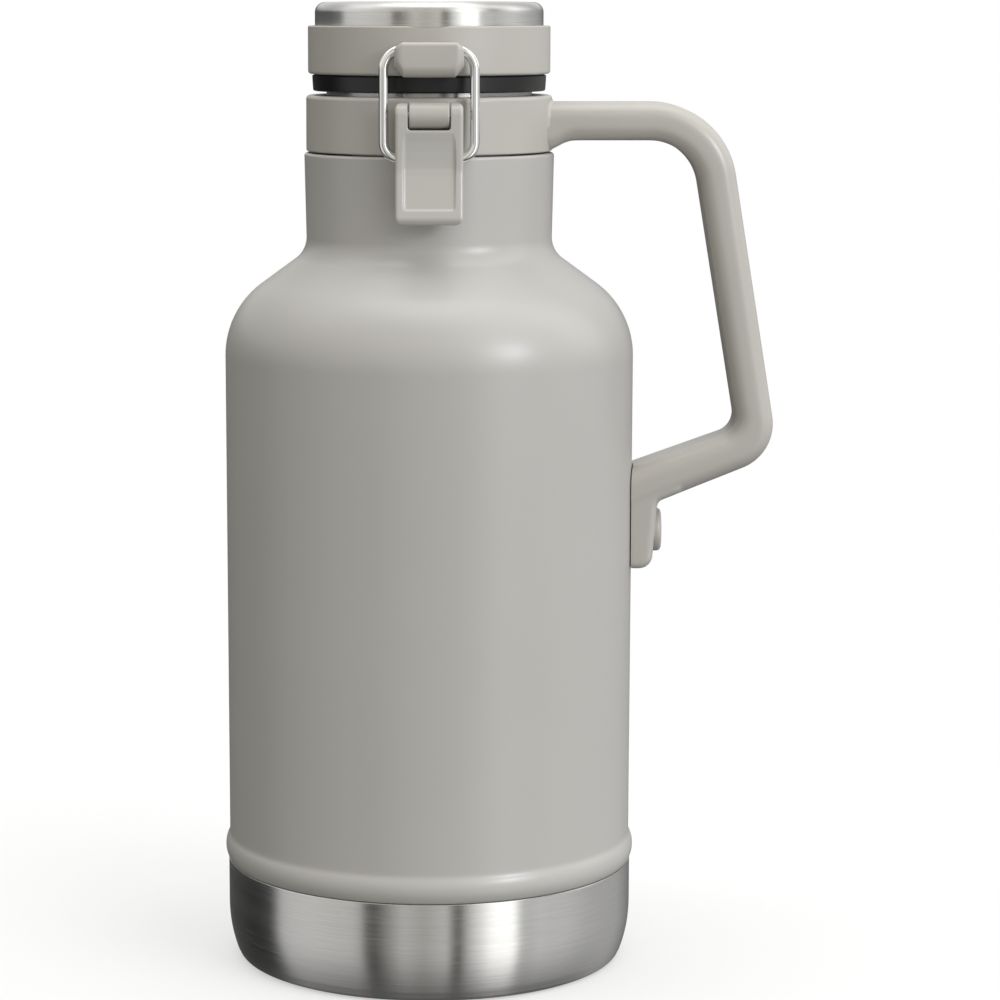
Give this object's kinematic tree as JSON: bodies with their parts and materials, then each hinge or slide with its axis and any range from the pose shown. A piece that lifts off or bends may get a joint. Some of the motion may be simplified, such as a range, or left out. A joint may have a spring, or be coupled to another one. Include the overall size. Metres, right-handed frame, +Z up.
{
  "type": "growler",
  "caption": "Insulated double-wall steel growler with a painted body, bare steel base, side handle, hinged stopper lid and a front lever latch with a wire bail.",
  "frame": {"origin": "centre of the underside, on the plane the vessel stands on", "axes": "+Z up along the vessel's axis; the latch faces -Y, the handle is on +X, the lid hinge is on +Y"},
  "size_m": [0.1638, 0.1226, 0.2848],
  "materials": {
    "shell_paint": "satin powder coat, warm grey",
    "collar_plastic": "fine satin moulded plastic, warm grey",
    "lever_plastic": "semi-gloss moulded plastic, warm grey",
    "black_plastic": "satin black moulded plastic",
    "brushed_steel": "horizontally brushed stainless steel",
    "liner_steel": "electropolished stainless steel",
    "bright_wire": "polished stainless wire",
    "fastener_steel": "plain stainless steel",
    "gasket_rubber": "matt silicone",
    "foam": "rigid insulating foam",
    "seal_glass": "fused sealing bead",
    "getter_metal": "sintered metal pellet"
  },
  "bodies": {
    "vessel": {"outer_shell": "shell_paint", "base_cup": "brushed_steel", "base_disc": "brushed_steel", "vacuum_seal": "seal_glass", "inner_flask": "liner_steel", "inner_bottom": "liner_steel", "getter": "getter_metal", "handle_collar": "collar_plastic", "handle_boss": "fastener_steel", "foot_washer": "fastener_steel", "foot_screw": "fastener_steel", "foot_screw_cap": "collar_plastic", "lid_hinge_pin": "fastener_steel", "latch_pin": "fastener_steel"},
    "lid": {"lid_band": "collar_plastic", "lid_top_cap": "brushed_steel", "lid_plug": "black_plastic", "lid_gasket": "gasket_rubber", "lid_foam": "foam", "lid_screw_1": "fastener_steel", "lid_screw_2": "fastener_steel", "lid_screw_3": "fastener_steel"},
    "lever": {"latch_lever": "lever_plastic"},
    "bail": {"latch_bail": "bright_wire"}
  },
  "joints": [
    {"name": "lid_hinge", "type": "hinge", "parent": "vessel", "child": "lid", "pos_m": [0, 0.0412, 0.2608], "axis": [-1, 0, 0], "range_deg": [0, 115]},
    {"name": "latch_hinge", "type": "hinge", "parent": "vessel", "child": "lever", "pos_m": [0, -0.0398, 0.253], "axis": [-1, 0, 0], "range_deg": [0, 95]},
    {"name": "bail_hinge", "type": "hinge", "parent": "lever", "child": "bail", "pos_m": [0, -0.0393, 0.2408], "axis": [1, 0, 0], "range_deg": [0, 68]}
  ],
  "couplings": [
    {"joint": "bail_hinge", "follows": "latch_hinge", "ratio": 0.71}
  ]
}
